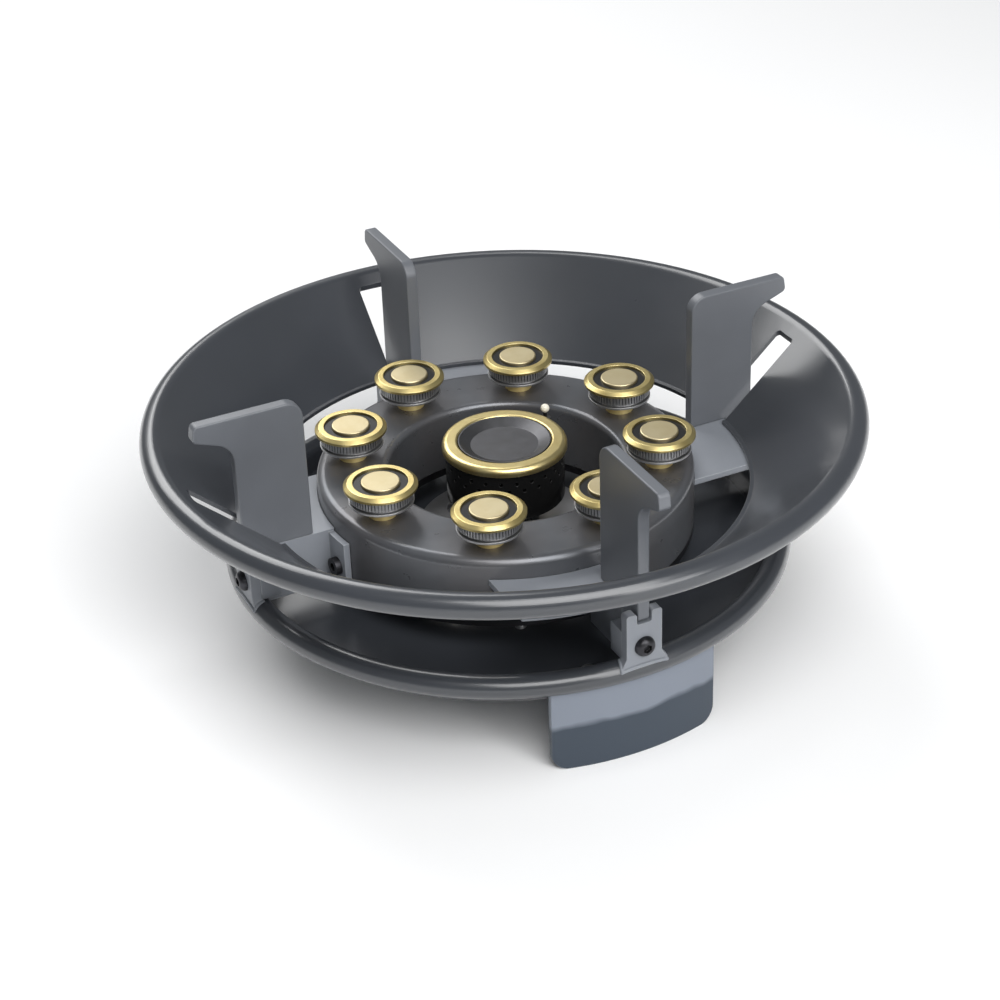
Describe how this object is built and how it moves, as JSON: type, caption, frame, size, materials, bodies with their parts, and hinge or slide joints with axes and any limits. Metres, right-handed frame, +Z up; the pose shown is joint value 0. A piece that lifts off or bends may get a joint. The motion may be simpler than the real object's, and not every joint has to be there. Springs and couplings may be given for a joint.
{
  "type": "built_in_gas_hob",
  "caption": "Round built-in gas hob: a ring of brass jets and a centre burner in a flared wind shield, with lift-off pan supports, a rimmed pan and foot tabs",
  "frame": {"origin": "on the burner axis, in the plane that the foot tabs stand on", "axes": "+Z up along the burner axis, +X from the burner axis to the gas inlet's side through pan support 1"},
  "size_m": [0.349, 0.349, 0.15],
  "materials": {
    "pan_coat": "dark grey satin coating, baked on",
    "support_steel": "smooth blue-grey coating",
    "burner_iron": "machined and oiled, dark",
    "jet_brass": "fine turned, satin",
    "jet_steel": "slotted and turned",
    "cap_steel": "pressed, satin grey",
    "black_enamel": "glossy black heatproof enamel",
    "tube_aluminium": "die cast",
    "insulator_ceramic": "cream glaze",
    "fastener_steel": "plain steel"
  },
  "bodies": {
    "base": {"pan": "pan_coat", "foot_tab_front": "pan_coat", "foot_tab_rear": "pan_coat", "tab_rivets": "fastener_steel", "support_bracket_1": "support_steel", "support_bracket_2": "support_steel", "support_bracket_3": "support_steel", "support_bracket_4": "support_steel", "carrier_arm_1": "support_steel", "carrier_arm_2": "support_steel", "carrier_arm_3": "support_steel", "carrier_arm_4": "support_steel", "bracket_bolts": "fastener_steel", "arm_screws": "fastener_steel", "burner_body": "burner_iron", "burner_base_plate": "burner_iron", "base_plate_screws": "fastener_steel", "jet_stem_1": "jet_brass", "jet_stem_2": "jet_brass", "jet_stem_3": "jet_brass", "jet_stem_4": "jet_brass", "jet_stem_5": "jet_brass", "jet_stem_6": "jet_brass", "jet_stem_7": "jet_brass", "jet_stem_8": "jet_brass", "jet_head_1": "jet_steel", "jet_head_2": "jet_steel", "jet_head_3": "jet_steel", "jet_head_4": "jet_steel", "jet_head_5": "jet_steel", "jet_head_6": "jet_steel", "jet_head_7": "jet_steel", "jet_head_8": "jet_steel", "jet_rings": "jet_brass", "jet_port_rings": "black_enamel", "jet_buttons": "jet_brass", "centre_pot": "black_enamel", "centre_mixing_tube": "tube_aluminium", "outer_mixing_tube": "tube_aluminium", "tube_bridge": "fastener_steel", "underside_screws": "fastener_steel", "centre_injector": "jet_brass", "outer_injector": "jet_brass", "gas_manifold": "jet_brass", "manifold_plug": "jet_brass", "gas_inlet": "jet_brass", "electrode_insulator": "insulator_ceramic", "electrode_wire": "fastener_steel", "thermocouple": "fastener_steel"},
    "shield": {"wind_shield": "pan_coat"},
    "support_1": {"pan_support_1": "support_steel"},
    "support_2": {"pan_support_2": "support_steel"},
    "support_3": {"pan_support_3": "support_steel"},
    "support_4": {"pan_support_4": "support_steel"},
    "burner_cap": {"cap_ring": "jet_brass", "cap_disc": "cap_steel"},
    "centre_air": {"centre_shutter": "fastener_steel"},
    "outer_air": {"outer_shutter": "fastener_steel"}
  },
  "joints": [
    {"name": "shield_lift", "type": "slide", "parent": "base", "child": "shield", "axis": [0, 0, 1], "range_m": [0, 0.08]},
    {"name": "support_lift_1", "type": "slide", "parent": "base", "child": "support_1", "axis": [0, 0, 1], "range_m": [0, 0.09]},
    {"name": "support_lift_2", "type": "slide", "parent": "base", "child": "support_2", "axis": [0, 0, 1], "range_m": [0, 0.09]},
    {"name": "support_lift_3", "type": "slide", "parent": "base", "child": "support_3", "axis": [0, 0, 1], "range_m": [0, 0.09]},
    {"name": "support_lift_4", "type": "slide", "parent": "base", "child": "support_4", "axis": [0, 0, 1], "range_m": [0, 0.09]},
    {"name": "cap_lift", "type": "slide", "parent": "base", "child": "burner_cap", "axis": [0, 0, 1], "range_m": [0, 0.04]},
    {"name": "centre_shutter_turn", "type": "hinge", "parent": "base", "child": "centre_air", "pos_m": [0.094, 0, 0.02], "axis": [1, 0, 0], "range_deg": [0, 45]},
    {"name": "outer_shutter_turn", "type": "hinge", "parent": "base", "child": "outer_air", "pos_m": [0.094, 0.04, 0.02], "axis": [1, 0, 0], "range_deg": [0, 45]}
  ]
}
